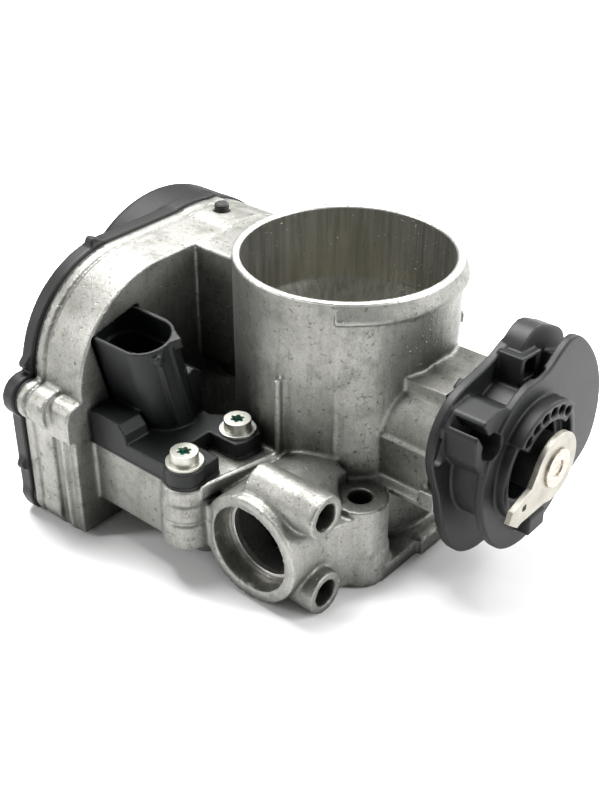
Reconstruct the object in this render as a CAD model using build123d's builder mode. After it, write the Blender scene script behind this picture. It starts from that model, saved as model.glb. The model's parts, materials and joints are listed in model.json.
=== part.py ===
"""Cable-operated throttle body with an electric idle drive, in millimetres.

The origin is on the axis of the air passage at the mounting face. +Z runs up the passage to the air
inlet and +X runs along the throttle shaft, from the idle drive's cover to the cable quadrant.
"""

import math
import os

from build123d import *

os.makedirs("parts", exist_ok=True)

# ---- air passage and mounting flange ----
body_height = 80.0
inlet_radius = 30.0
inlet_wall = 2.2
bore_radius = 27.0
bore_top = 49.0
inlet_cone_top = 57.0
flange_half = 37.0
flange_corner = 8.5
flange_thickness = 4.5
bolt_pitch = 57.0
bolt_hole_radius = 3.3
bolt_boss_radius = 8.0
bolt_foot_height = 10.0
bolt_boss_height = 25.5
wrench_radius = 6.0

# ---- rim bead that holds the air hose ----
bead_height = 6.0
bead_rise = 1.7
bead_half_angle = 57.0

# ---- throttle shaft ----
shaft_z = 39.3
shaft_radius = 5.0
running_gap = 0.03
fit_gap = 0.05
press_gap = 0.02
clearance_gap = 0.2
bearing_radius = 8.0
bearing_length = 10.0
seal_length = 3.0
drive_bearing_x = -48.0
quadrant_bearing_x = 33.0
quadrant_boss_radius = 17.6
quadrant_boss_start_x = 24.0
quadrant_boss_end_x = 43.3
bracket_top = 0.5
drive_boss_radius = 14.0
stop_lug_x = 36.0
plate_thickness = 2.0
plate_closed_angle = 5.0
plate_gap = 0.08
plate_screw_offset = 12.0
plate_screw_radius = 2.0
shaft_start_x = -66.0

# ---- gear chamber and its cover ----
chamber_face_x = -60.0
chamber_floor_x = -49.0
chamber_back_x = -41.0
chamber_wall = 2.8
chamber_front_y = -71.0
chamber_bottom_z = 0.6
chamber_top_z = 76.2
groove_setback = 3.0
groove_depth = 0.9
groove_width = 1.2
recess_depth = 1.7
recess_top_z = 33.0
gasket_thickness = 0.8
cover_plate_thickness = 2.4
cover_rim_depth = 4.6
cover_dome_radius = 38.0
cover_dome_depth = 16.5
cover_screw_radius = 2.0
cover_screw_lug = 6.0
cover_screw_hole_depth = 9.0
cover_head_radius = 3.6
cover_head_height = 2.6
cover_screw_long = 24.0
cover_screw_short = 12.0
cover_screw_yz = [(-67.5, 39.5), (-65.5, 6.4), (4.5, 70.4), (30.0, 8.5)]
chamber_rib_reach = 52.0
slab_front_y = -18.7
slab_back_y = 10.2
slab_bottom_z = 40.0
slab_top_z = 75.9
plug_xy = (-50.6, 2.4)
plug_radius = 2.2
plug_depth = 2.4
plug_rise = 2.8

# ---- gears of the idle drive ----
gear_module = 1.0
sector_teeth = 48
idler_small_teeth = 16
idler_large_teeth = 44
motor_teeth = 12
gear_backlash = 0.14
gear_addendum = 0.85
gear_dedendum = 1.2
gear_thickness = 3.4
idler_pin_radius = 2.0
motor_direction = 234.7
dog_radius = 16.0
dog_pin_angle = 27.0
dog_lever_angle = 60.0
dog_lever_x = -62.6
sensor_board_x = -71.0
sensor_board_thickness = 1.2
wiper_angle = 120.0
wiper_reach = 17.0

# ---- idle motor ----
motor_radius = 11.6
motor_front_x = -43.0
motor_back_x = -8.0
motor_wall = 2.1
motor_can_wall = 1.0
motor_cap_length = 2.4
magnet_length = 20.0
magnet_thickness = 1.68
rotor_radius = 8.5
rotor_slots = 5
motor_shaft_radius = 1.5
motor_case_end_x = -1.5
motor_case_round = 5.0

# ---- side port and its two small bosses ----
port_x = 13.5
port_z = 16.7
port_face_y = -57.5
port_root_y = -27.0
port_wall = 3.5
port_seat_radius = 12.8
port_seat_depth = 6.5
port_bore_radius = 11.6
port_ring_radius = 12.1
port_ring_width = 1.0
port_ring_length = 1.8
port_bore_end_y = -33.0
side_boss_y = -48.2
side_boss_zs = (6.4, 31.8)
side_boss_radius = 6.3
side_boss_hole_radius = 3.9
side_boss_hole_depth = 9.0
side_boss_face_x = 33.0

# ---- connector ----
deck_z = 30.0
deck_front_y = -62.8
deck_right_x = -1.6
deck_wall_front_y = -62.2
screw_column_radius = 6.7
screw_column_foot_z = 11.0
screw_collar_radius = 7.3
screw_collar_bands = ((11.0, 18.6), (20.2, 25.0))
gasket_height = 0.8
socket_length = 27.0
socket_width = 16.4
socket_wall = 1.1
socket_tilt = 13.0
socket_mouth = (-34.2, -50.8, 64.0)
socket_depth = 20.0
terminal_width = 2.2
terminal_length = 7.0
base_thickness = 5.4
socket_screw_xy = ((-8.5, -58.0), (-8.5, -37.2))
socket_screw_radius = 2.0
socket_screw_length = 9.8
socket_screw_hole_depth = 4.6
socket_head_radius = 3.85
socket_head_height = 3.0
washer_radius = 5.25
washer_thickness = 0.9

# ---- cable quadrant ----
quadrant_back_x = 49.0
rear_flange_thickness = 2.6
front_flange_x = 61.0
front_flange_thickness = 2.4
drum_radius = 20.5
quadrant_hub_radius = 8.2
hub_end_x = 69.3
lever_thickness = 1.5
lever_radius = 10.1
rivet_radius = 5.6
nipple_radius = 3.7
nipple_yz = (-19.4, 12.6)
cup_radius = 17.4
arc_start = 43.0
arc_sweep = 97.0
arc_holes = 6
stop_dog_angle = -5.0
full_dog_angle = 111.0
dog_inner_radius = 15.8
dog_outer_radius = 22.4
dog_depth = 5.3

# ---- throttle stop and return spring ----
stop_x = 44.6
stop_y = 19.2
stop_radius = 2.0
spring_x = 44.2
spring_radius = 12.2
spring_wire_radius = 0.75

# ---- values worked out from the sizes above ----
inlet_outer_radius = inlet_radius + inlet_wall
port_outer_radius = port_seat_radius + port_wall
idler_distance = gear_module * (sector_teeth + idler_small_teeth) / 2
motor_distance = gear_module * (idler_large_teeth + motor_teeth) / 2
idler_y = -idler_distance
idler_z = shaft_z
motor_y = idler_y + motor_distance * math.cos(math.radians(motor_direction))
motor_z = idler_z + motor_distance * math.sin(math.radians(motor_direction))
motor_case_radius = motor_radius + 0.1 + motor_wall
large_gear_x = chamber_floor_x - 5.0
sector_x = large_gear_x - 1.2 - gear_thickness
cover_x = chamber_face_x - gasket_thickness
cover_screw_lengths = (cover_screw_short, cover_screw_short, cover_screw_long, cover_screw_short)
motor_end_cap_x = motor_back_x - motor_cap_length - 0.2
bolt_corners = [(sx * bolt_pitch / 2, sy * bolt_pitch / 2) for sx in (-1, 1) for sy in (-1, 1)]
stop_tip_z = shaft_z - 2.0
stop_lug_bottom_z = shaft_z - 9.5


def across(x, y=0.0, z=shaft_z):
    """The plane square to the throttle shaft at x, with its local axes along +Y and +Z."""
    return Plane(origin=(x, y, z), x_dir=(0, 1, 0), z_dir=(1, 0, 0))


def facing_front(y, x=0.0, z=0.0):
    """The plane at y that faces -Y, with its local axes along +X and +Z."""
    return Plane(origin=(x, y, z), x_dir=(1, 0, 0), z_dir=(0, -1, 0))


def carrier_plane(x, reach):
    """The plane square to the shaft at x, on the wiper carrier's arm at reach from the shaft's axis."""
    y, z = polar(reach, wiper_angle)
    return across(x, y, shaft_z + z)


def polar(radius, degrees):
    return (radius * math.cos(math.radians(degrees)), radius * math.sin(math.radians(degrees)))


def gear_points(teeth, tooth_angle):
    """The outline of a spur gear with one tooth centred on tooth_angle, in degrees."""
    pitch = gear_module * teeth / 2
    base = pitch * math.cos(math.radians(20))
    tip = pitch + gear_addendum * gear_module
    root = pitch - gear_dedendum * gear_module
    half_pitch_angle = math.pi / (2 * teeth) - gear_backlash / (4 * pitch)

    def involute(radius):
        pressure = math.acos(min(1.0, base / radius))
        return math.tan(pressure) - pressure

    flank = []
    for share in (0.0, 0.35, 0.7, 1.0):
        radius = max(base, root) + share * (tip - max(base, root))
        flank.append((radius, half_pitch_angle + involute(pitch) - involute(radius)))
    if base > root:
        flank.insert(0, (root, flank[0][1]))
    points = []
    for tooth in range(teeth):
        centre = math.radians(tooth_angle) + 2 * math.pi * tooth / teeth
        sides = [(r, centre - a) for r, a in flank] + [(r, centre + a) for r, a in reversed(flank)]
        points += [(r * math.cos(a), r * math.sin(a)) for r, a in sides]
    return points


def save(part, label):
    part.part.label = label
    export_step(part.part, f"parts/{label}.step")


def chamber_outline(inset=0.0, lugs=True):
    """Draws the gear chamber's outline, drawn in by inset, into the sketch that is open."""
    with BuildSketch(mode=Mode.PRIVATE) as outline:
        with Locations((0, shaft_z)):
            Circle(cover_dome_radius - 0.5)
        with Locations((-33, 43.7)):
            Circle(chamber_top_z - 43.7)
        with Locations(((chamber_front_y + 30) / 2, (44 + chamber_bottom_z) / 2)):
            RectangleRounded(30 - chamber_front_y, 44 - chamber_bottom_z, 4)
        with Locations((-12, chamber_top_z - 13)):
            Rectangle(44, 26)
        if lugs:
            with Locations(*cover_screw_yz):
                Circle(cover_screw_lug)
        offset(amount=-inset, kind=Kind.ARC)
    add(outline.sketch)


def private_outline(inset):
    """The gear chamber's outline drawn in by inset, as a sketch of its own."""
    with BuildSketch(mode=Mode.PRIVATE) as outline:
        chamber_outline(inset)
    return outline.sketch


def plate_plane(height):
    """The plane of the closed throttle plate, moved by height along the plate's normal."""
    tilt = math.radians(plate_closed_angle)
    plane = Plane(origin=(0, 0, shaft_z), x_dir=(1, 0, 0), z_dir=(0, -math.sin(tilt), math.cos(tilt)))
    return plane.offset(height)


def cam_outline(polar_points):
    """Draws a closed smooth cam through points given as angle and radius, into the sketch that is open."""
    with BuildSketch(mode=Mode.PRIVATE) as cam:
        with BuildLine():
            Spline(*[polar(radius, degrees) for degrees, radius in polar_points], periodic=True)
        make_face()
    add(cam.sketch)


def build_housing():
    """The die-cast body: air passage, flange, shaft bosses, gear chamber, motor case and side port."""
    with BuildPart() as housing:
        # air passage
        Cylinder(inlet_outer_radius, body_height, align=(Align.CENTER, Align.CENTER, Align.MIN))
        # side port with two small bosses
        with BuildSketch(facing_front(port_root_y, port_x, port_z)):
            Circle(port_outer_radius)
        extrude(amount=port_root_y - port_face_y)
        for z in side_boss_zs:
            with BuildSketch(across(port_x - 4, side_boss_y, z)):
                Circle(side_boss_radius)
            extrude(amount=side_boss_face_x - port_x + 4)
        with BuildSketch(across(port_x, side_boss_y, side_boss_zs[0])):
            with Locations((2.5, 4)):
                Rectangle(9, 9)
        extrude(amount=side_boss_face_x - port_x - 7)
        # wall between the port and the bolt boss
        with BuildSketch(Plane.XY.offset(1.3)):
            with BuildLine():
                Polyline((port_x - 4, -44.3), (29.6, -44.3), (34.2, -30.4), (20.3, -21), (port_x - 4, -21),
                         close=True)
            make_face()
        extrude(amount=22.2)
        # mounting flange with its bolt bosses
        with BuildSketch(Plane.XY):
            RectangleRounded(2 * flange_half, 2 * flange_half, flange_corner)
        extrude(amount=flange_thickness)
        with BuildSketch(Plane.XY):
            with Locations(*bolt_corners):
                Circle(flange_corner)
        extrude(amount=bolt_foot_height)
        with BuildSketch(Plane.XY):
            with Locations(bolt_corners[2]):
                Circle(bolt_boss_radius)
        extrude(amount=bolt_boss_height)
        # webs that tie the bolt bosses to the air passage
        for x, y in bolt_corners:
            with BuildSketch(Plane.XY):
                with Locations(Location((x * 0.75, y * 0.75, 0), math.degrees(math.atan2(y, x)))):
                    Rectangle(22, 9)
            extrude(amount=bolt_boss_height - 3 if (x > 0 > y) else bolt_foot_height)
        # shaft boss on the quadrant side: a round boss with a square pad on top
        quadrant_boss_length = quadrant_boss_end_x - quadrant_boss_start_x
        with BuildSketch(across(quadrant_boss_start_x)):
            Circle(quadrant_boss_radius)
        extrude(amount=quadrant_boss_length)
        with BuildSketch(across(quadrant_boss_start_x)):
            with Locations((0, 8.4)):
                Rectangle(24, 16.6)
        extrude(amount=quadrant_boss_length)
        # bracket under the boss, and the lug of the throttle stop
        with BuildSketch(across(quadrant_boss_start_x)):
            with BuildLine():
                Polyline((-18.6, bracket_top), (15.4, bracket_top), (15, -13), (-15, -15.5), (-20.5, -15.5),
                         (-20.5, -13.8), (-17.8, -12.6), close=True)
            make_face()
        extrude(amount=quadrant_boss_length)
        with BuildSketch(across(quadrant_boss_end_x - 1.3)):
            with Locations((-17.2, -12.6)):
                Rectangle(6.6, 5.8)
        extrude(amount=5.2)
        with BuildSketch(across(stop_lug_x)):
            with Locations((stop_y - 0.6, stop_lug_bottom_z + 3 - shaft_z)):
                Rectangle(9.0, 6.0)
        extrude(amount=stop_x + 3 - stop_lug_x)
        # shaft boss on the idle drive side, and the slab that ties the gear chamber to the passage
        with BuildSketch(across(-24)):
            Circle(drive_boss_radius)
        extrude(amount=chamber_back_x + 24 - 1)
        with BuildSketch(Plane.XY.offset(slab_bottom_z)):
            with Locations((chamber_back_x - 1, slab_front_y)):
                Rectangle(17, slab_back_y - slab_front_y, align=(Align.MIN, Align.MIN))
        extrude(amount=slab_top_z - slab_bottom_z)
        # gear chamber
        with BuildSketch(across(chamber_face_x, z=0)):
            chamber_outline(lugs=False)
        extrude(amount=chamber_back_x - chamber_face_x)
        with BuildSketch(across(chamber_face_x, z=0)):
            chamber_outline()
        extrude(amount=chamber_floor_x - chamber_face_x)
        # motor case under the connector deck
        with BuildPart(mode=Mode.PRIVATE) as motor_case:
            with BuildSketch(across(chamber_back_x - 1, motor_y, motor_z)):
                Circle(motor_case_radius)
            extrude(amount=motor_case_end_x - chamber_back_x + 1)
            fillet(motor_case.edges().group_by(Axis.X)[-1], motor_case_round)
        add(motor_case.part)
        with BuildSketch(Plane.XY.offset(motor_z - 6)):
            with BuildLine():
                Polyline((chamber_back_x - 1, deck_wall_front_y), (-7.0, deck_wall_front_y),
                         (deck_right_x - 1.2, deck_front_y + 3.4), (deck_right_x, deck_front_y + 7),
                         (deck_right_x, -47),
                         (2.2, -40), (2.2, -24), (-14, -24), (-18, -34.5), (chamber_back_x - 1, -34.5),
                         close=True)
            make_face()
        extrude(amount=deck_z - motor_z + 6)
        with BuildSketch(Plane.XY.offset(screw_column_foot_z)):
            with Locations(socket_screw_xy[0]):
                Circle(screw_column_radius)
        extrude(amount=deck_z - screw_column_foot_z)
        for low, high in screw_collar_bands:
            with BuildSketch(Plane.XY.offset(low)):
                with Locations(socket_screw_xy[0]):
                    Circle(screw_collar_radius)
            extrude(amount=high - low)
        # hose bead on the quadrant side of the rim
        rim = inlet_outer_radius
        with BuildPart(mode=Mode.PRIVATE) as bead:
            with BuildSketch(Plane.XZ):
                with BuildLine():
                    Polyline((rim - 1, body_height - 0.6), (rim + 0.2, body_height - 0.6),
                             (rim + bead_rise, body_height - bead_height + 1.4),
                             (rim + bead_rise, body_height - bead_height + 0.5),
                             (rim - 1, body_height - bead_height - 0.6), close=True)
                make_face()
            revolve(axis=Axis.Z, revolution_arc=2 * bead_half_angle)
        add(bead.part.rotate(Axis.Z, -bead_half_angle))
        # parting ridge, ribs on the passage wall and the locating nub
        for degrees, low, high, width, rise in ((-bead_half_angle, 34, 79.2, 0.7, 0.35),
                                                (-84, 30.5, 55, 1.7, 2.6),
                                                (41, 57.5, 60.5, 2.0, 1.2)):
            with BuildSketch(Plane.XY.offset(low)):
                with Locations(Location((*polar(inlet_outer_radius - 1, degrees), 0), degrees)):
                    Rectangle(2 * (rise + 1), width)
            extrude(amount=high - low)
        # lip beside the connector, running from the screw boss to the rib
        with BuildSketch(Plane.XY.offset(deck_z - 3)):
            with BuildLine():
                Polyline((-2.9, deck_front_y + 3), (-1.4, deck_front_y + 3.6), (5.0, -31), (2.6, -30),
                         close=True)
            make_face()
        extrude(amount=4.4)
        # pads and lugs on the chamber's outside
        with BuildSketch(across(chamber_face_x, *cover_screw_yz[1])):
            Circle(cover_screw_lug)
        extrude(amount=13)
        with BuildSketch(across(chamber_face_x, -64.5, 33)):
            Rectangle(12.5, 22)
        extrude(amount=9.5)
        # end pad of the flange
        with BuildSketch(Plane.XY):
            with Locations((flange_half, -3)):
                Rectangle(3.0, 18)
        extrude(amount=6.2)
        # air passage
        with BuildSketch(Plane.XZ):
            with BuildLine():
                Polyline((0, -1), (bore_radius, -1), (bore_radius, bore_top),
                         (inlet_radius, inlet_cone_top),
                         (inlet_radius, body_height - 0.5), (inlet_radius + 0.5, body_height),
                         (inlet_radius + 0.5, body_height + 1), (0, body_height + 1), close=True)
            make_face()
        revolve(axis=Axis.Z, mode=Mode.SUBTRACT)
        # bolt holes, and room for a wrench above each
        with BuildSketch(Plane.XY.offset(-1)):
            with Locations(*bolt_corners):
                Circle(bolt_hole_radius)
        extrude(amount=bolt_boss_height + 2, mode=Mode.SUBTRACT)
        for corner in bolt_corners:
            floor = bolt_boss_height if corner == bolt_corners[2] else bolt_foot_height
            with BuildSketch(Plane.XY.offset(floor)):
                with Locations(corner):
                    Circle(wrench_radius)
            extrude(amount=body_height - floor + 1, mode=Mode.SUBTRACT)
        # gear chamber, with its screw bosses left standing
        with BuildSketch(across(chamber_face_x - 1, z=0)):
            chamber_outline(chamber_wall)
            with Locations(*cover_screw_yz):
                Circle(cover_screw_lug - 0.6, mode=Mode.SUBTRACT)
            with Locations((-71, 33)):
                Rectangle(11, 22, mode=Mode.SUBTRACT)
        extrude(amount=chamber_floor_x - chamber_face_x + 1, mode=Mode.SUBTRACT)
        with BuildSketch(across(chamber_face_x - 1, z=0)):
            with Locations(*cover_screw_yz):
                Circle(cover_screw_radius + clearance_gap)
        extrude(amount=cover_screw_hole_depth + 1, mode=Mode.SUBTRACT)
        with BuildSketch(across(chamber_face_x - 1, *cover_screw_yz[2])):
            Circle(cover_screw_radius + clearance_gap)
        extrude(amount=cover_screw_long - 2, mode=Mode.SUBTRACT)
        # shallow groove round the chamber, behind the joint
        with BuildSketch(across(chamber_face_x + groove_setback, z=0)):
            chamber_outline(-1)
            add(private_outline(groove_depth), mode=Mode.SUBTRACT)
        extrude(amount=groove_width, mode=Mode.SUBTRACT)
        # recess in the chamber's front wall, with a rib left standing in it
        with BuildSketch(Plane.XY.offset(-1)):
            with Locations((chamber_floor_x + 0.4, chamber_front_y - 1)):
                Rectangle(12, recess_depth + 1, align=(Align.MIN, Align.MIN))
            with Locations((chamber_floor_x + 4.6, chamber_front_y + recess_depth)):
                Rectangle(1.5, recess_depth, align=(Align.CENTER, Align.MAX), mode=Mode.SUBTRACT)
        extrude(amount=recess_top_z + 1, mode=Mode.SUBTRACT)
        # pad inside the chamber that keeps a wall behind the socket's room
        with BuildSketch(across(chamber_floor_x - 0.8, z=0)):
            with Locations((-49.5, 46)):
                Rectangle(16, 28)
        extrude(amount=1.8)
        # motor bore
        with BuildSketch(across(chamber_floor_x - 1, motor_y, motor_z)):
            Circle(motor_radius + 0.1)
        extrude(amount=motor_back_x - chamber_floor_x + 1.2, mode=Mode.SUBTRACT)
        # shaft passage with a seat for a bearing and a seal at each end
        with BuildSketch(across(chamber_floor_x - 1)):
            Circle(shaft_radius + 0.4)
        extrude(amount=100, mode=Mode.SUBTRACT)
        with BuildSketch(across(chamber_floor_x - 1)):
            Circle(bearing_radius + fit_gap)
        extrude(amount=1 + drive_bearing_x - chamber_floor_x + bearing_length + seal_length,
                mode=Mode.SUBTRACT)
        with BuildSketch(across(quadrant_bearing_x - seal_length)):
            Circle(bearing_radius + fit_gap)
        extrude(amount=seal_length + bearing_length + 10, mode=Mode.SUBTRACT)
        # seat of the gear pin
        with BuildSketch(across(chamber_floor_x - 1, idler_y, idler_z)):
            Circle(idler_pin_radius + press_gap)
        extrude(amount=5, mode=Mode.SUBTRACT)
        # hole for the plug on top of the gear chamber
        with BuildSketch(Plane.XY.offset(chamber_top_z - plug_depth - 0.1)):
            with Locations(plug_xy):
                Circle(plug_radius + press_gap)
        extrude(amount=plug_depth + 1, mode=Mode.SUBTRACT)
        # side port: seat, bore and the passage down to the mounting face
        with BuildSketch(facing_front(port_face_y - 1, port_x, port_z)):
            Circle(port_seat_radius)
        extrude(amount=-port_seat_depth - 1, mode=Mode.SUBTRACT)
        with BuildSketch(facing_front(port_face_y + port_seat_depth, port_x, port_z)):
            Circle(port_ring_radius + press_gap)
        extrude(amount=-port_ring_length - 0.1, mode=Mode.SUBTRACT)
        with BuildSketch(facing_front(port_face_y - 1, port_x, port_z)):
            Circle(port_bore_radius)
        extrude(amount=port_face_y - 1 - port_bore_end_y, mode=Mode.SUBTRACT)
        with BuildSketch(Plane.XY.offset(-1)):
            with Locations((port_x, port_bore_end_y - 4.5)):
                SlotOverall(17, 8)
        extrude(amount=port_z, mode=Mode.SUBTRACT)
        for z in side_boss_zs:
            with BuildSketch(across(side_boss_face_x + 1, side_boss_y, z)):
                Circle(side_boss_hole_radius)
            extrude(amount=-side_boss_hole_depth - 1, mode=Mode.SUBTRACT)
        # room for the connector
        with BuildSketch(Plane.XY.offset(deck_z)):
            base_outline(0.6)
        extrude(amount=base_thickness + 6, mode=Mode.SUBTRACT)
        with BuildSketch(socket_plane(0)):
            SlotOverall(socket_length + 2.0, socket_width + 2.0)
        extrude(amount=-36, mode=Mode.SUBTRACT)
        with BuildSketch(Plane.XY.offset(deck_z - socket_screw_hole_depth)):
            with Locations(*socket_screw_xy):
                Circle(socket_screw_radius + fit_gap)
        extrude(amount=14, mode=Mode.SUBTRACT)
        # undercut between the flange and the quadrant-side boss
        with BuildSketch(across(33.2)):
            with BuildLine():
                Polyline((-19, -17.5), (19, -14.5), (25, -24), (25, -34.6), (-19, -34.6), close=True)
            make_face()
        extrude(amount=12, mode=Mode.SUBTRACT)
        # thread of the throttle stop
        with BuildSketch(Plane.XY.offset(shaft_z - 12)):
            with Locations((stop_x, stop_y)):
                Circle(stop_radius + fit_gap)
        extrude(amount=12, mode=Mode.SUBTRACT)
        # three small marks on the flange's end pad
        with BuildSketch(across(flange_half + 1.5, -3, 3.2)):
            with Locations((-6, 0), (-1.5, 0), (3, 0)):
                Circle(1.6)
                Circle(1.0, mode=Mode.SUBTRACT)
        extrude(amount=-0.4, mode=Mode.SUBTRACT)
    return housing


def socket_plane(height):
    """The plane of the connector's mouth, moved along the leaning socket by height."""
    lean = math.radians(socket_tilt)
    plane = Plane(origin=socket_mouth, x_dir=(1, 0, 0), z_dir=(0, -math.sin(lean), math.cos(lean)))
    return plane.offset(height)


def base_outline(grow=0.0):
    """Draws the connector's base plate, grown by grow, into the sketch that is open."""
    front, back = deck_front_y, -36.2
    with BuildSketch(mode=Mode.PRIVATE) as outline:
        with BuildLine():
            Polyline((chamber_back_x + 0.4, front), (-10, front), (-3.4, front + 4), (-3.4, -50),
                     (-14, -50),
                     (-14, -43), (-4.0, -43), (-2.6, -40), (-2.6, -34), (-14, -31.4), (-20, back),
                     (chamber_back_x + 0.4, back), close=True)
        make_face()
        with Locations(*socket_screw_xy):
            Circle(5.9)
        if grow:
            offset(amount=grow, kind=Kind.INTERSECTION)
    add(outline.sketch)


housing = build_housing()
save(housing, "throttle_housing")

# ---- gear cover: a plate with a deep rim, and a dome over the shaft end that holds the sensor ----
with BuildPart() as gear_cover:
    with BuildSketch(across(cover_x, z=0)):
        chamber_outline(-0.6)
    extrude(amount=-cover_rim_depth)
    with BuildSketch(across(cover_x)):
        Circle(cover_dome_radius)
    extrude(amount=-cover_dome_depth + cover_x - chamber_face_x)
    dome_edge = gear_cover.edges().filter_by(GeomType.CIRCLE).group_by(Axis.X)[0]
    fillet(dome_edge, 2.4)
    # recess that leaves a rim all round and a skin over the gears
    with BuildSketch(across(cover_x - cover_rim_depth, z=0)):
        chamber_outline(1.8)
        with Locations((0, shaft_z)):
            Circle(cover_dome_radius + 1.0, mode=Mode.SUBTRACT)
        with Locations(*cover_screw_yz):
            Circle(cover_screw_lug - 0.6, mode=Mode.SUBTRACT)
    extrude(amount=cover_rim_depth - cover_plate_thickness, mode=Mode.SUBTRACT)
    with BuildSketch(across(cover_x)):
        Circle(cover_dome_radius - 2.4)
    extrude(amount=-cover_dome_depth + gasket_thickness + 2.2, mode=Mode.SUBTRACT)
    with BuildSketch(across(cover_x + 1, z=0)):
        with Locations(*cover_screw_yz):
            Circle(cover_screw_radius + clearance_gap)
    extrude(amount=-8, mode=Mode.SUBTRACT)
    # stiffening ribs from the dome to the rim
    for degrees in (150, 172, 194, 216):
        inner = polar(cover_dome_radius - 1, degrees)
        outer = polar(chamber_rib_reach, degrees)
        with BuildSketch(across(cover_x - cover_plate_thickness + 0.4)):
            with BuildLine():
                Line(inner, outer)
            trace(line_width=1.4)
        extrude(amount=-cover_rim_depth + cover_plate_thickness + 0.4)
    # wedge tabs around the rim
    for y, z, degrees in ((-37.0, 76.6, 97), (-65.5, 50.0, 169), (-71.2, 18.5, 180)):
        with BuildSketch(across(cover_x - 0.6, y, z)):
            with Locations(Location((0, 0, 0), degrees)):
                Polygon((-1.0, -3.4), (1.9, 0.8), (1.9, 2.2), (-1.0, 3.4), align=None)
        extrude(amount=-cover_rim_depth + 1.4)
save(gear_cover, "gear_cover")

with BuildPart() as cover_gasket:
    with BuildSketch(across(chamber_face_x, z=0)):
        chamber_outline(0.3)
        add(private_outline(chamber_wall - 0.3), mode=Mode.SUBTRACT)
        with Locations(*cover_screw_yz):
            Circle(cover_screw_lug - 0.9)
        with Locations(*cover_screw_yz):
            Circle(cover_screw_radius + clearance_gap, mode=Mode.SUBTRACT)
    extrude(amount=-gasket_thickness)
save(cover_gasket, "cover_gasket")


def torx_screw(plane, head_radius, head_height, shank_radius, shank_length, washer=0.0):
    """Adds a six-lobe screw to the open part, with its head on plane and its shank below it."""
    seat = washer_thickness if washer else 0.0
    with BuildPart(mode=Mode.PRIVATE) as screw:
        if washer:
            with BuildSketch(plane):
                Circle(washer)
            extrude(amount=washer_thickness)
        with BuildSketch(plane.offset(seat)):
            Circle(head_radius)
        extrude(amount=head_height)
        with BuildSketch(plane):
            Circle(shank_radius)
        extrude(amount=-shank_length)
        with BuildSketch(plane.offset(seat + head_height)):
            Circle(head_radius * 0.38)
            with PolarLocations(head_radius * 0.38, 6):
                Circle(head_radius * 0.14)
        extrude(amount=-head_height * 0.6, mode=Mode.SUBTRACT)
    add(screw.part)


with BuildPart() as cover_screws:
    for (y, z), length in zip(cover_screw_yz, cover_screw_lengths):
        seat = Plane(origin=(cover_x - cover_rim_depth - 0.02, y, z), x_dir=(0, 1, 0), z_dir=(-1, 0, 0))
        torx_screw(seat, cover_head_radius, cover_head_height, cover_screw_radius, length)
save(cover_screws, "cover_screws")

# ---- connector ----
base_top = deck_z + base_thickness
base_bottom = deck_z + gasket_height
with BuildPart() as connector_gasket:
    with BuildSketch(Plane.XY.offset(deck_z)):
        base_outline()
        with Locations(*socket_screw_xy):
            Circle(socket_screw_radius + 2 * clearance_gap, mode=Mode.SUBTRACT)
    extrude(amount=gasket_height)
save(connector_gasket, "connector_gasket")

with BuildPart() as connector_housing:
    with BuildSketch(Plane.XY.offset(base_bottom)):
        base_outline()
    extrude(amount=base_top - base_bottom)
    # raised block with a chamfered right end
    with BuildSketch(facing_front(-54.5)):
        with BuildLine():
            Polyline((chamber_back_x + 0.4, base_top - 1), (chamber_back_x + 0.4, base_top + 5.6),
                     (-29.2, base_top + 5.6), (-26.8, base_top + 3.0), (-26.0, base_top - 1), close=True)
        make_face()
    extrude(amount=-54.5 - deck_front_y)
    # leaning socket, cut off level with the base
    with BuildSketch(socket_plane(0)):
        SlotOverall(socket_length, socket_width)
    extrude(amount=-36)
    # rear wall beside the socket, with a sloping top
    with BuildSketch(Plane.YZ.offset(-29)):
        with BuildLine():
            Polyline((-47, base_top - 1), (-36.6, base_top - 1), (-36.6, 49), (-39.6, 51), (-45, 48),
                     close=True)
        make_face()
    extrude(amount=6.4)
    # keys on the socket's right end: two thin ribs, a wedge at the mouth and a round lug below it
    for y in (1.2, -3.4):
        with BuildSketch(socket_plane(-1.2)):
            with Locations((socket_length / 2 - 1.2, y)):
                Rectangle(3.6, 0.8)
        extrude(amount=-25)
    with BuildSketch(socket_plane(0)):
        with BuildLine():
            Polyline((socket_length / 2 - 3.4, 6.4), (socket_length / 2 + 1.6, 4.2),
                     (socket_length / 2 - 0.4, 0.6),
                     (socket_length / 2 - 3.4, 0.6), close=True)
        make_face()
    extrude(amount=-3.2)
    with BuildSketch(socket_plane(-1.6)):
        with Locations((socket_length / 2 - 0.6, -3.4)):
            Circle(1.5)
    extrude(amount=-2.4)
    with BuildSketch(Plane.XY.offset(base_bottom)):
        Rectangle(400, 400)
    extrude(amount=-40, mode=Mode.SUBTRACT)
    with BuildSketch(socket_plane(0.5)):
        SlotOverall(socket_length - 2 * socket_wall, socket_width - 2 * socket_wall)
    extrude(amount=-socket_depth - 0.5, mode=Mode.SUBTRACT)
    with BuildSketch(socket_plane(-socket_depth * 0.42)):
        SlotOverall(socket_length - 2 * socket_wall + 0.01, socket_width - 2 * socket_wall + 0.01)
        SlotOverall(socket_length - 2 * socket_wall - 1.6, socket_width - 2 * socket_wall - 1.6,
                    mode=Mode.SUBTRACT)
    extrude(amount=-socket_depth * 0.58 - 0.3)
    with BuildSketch(Plane.XY.offset(base_bottom - 1)):
        with Locations(*socket_screw_xy):
            Circle(socket_screw_radius + clearance_gap)
    extrude(amount=12, mode=Mode.SUBTRACT)
    # pockets for the terminals' feet
    with BuildSketch(socket_plane(-socket_depth - 4)):
        with GridLocations(4.6, 5.0, 4, 2):
            Rectangle(terminal_width + 0.1, 0.74)
    extrude(amount=6, mode=Mode.SUBTRACT)
save(connector_housing, "connector_housing")

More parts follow.
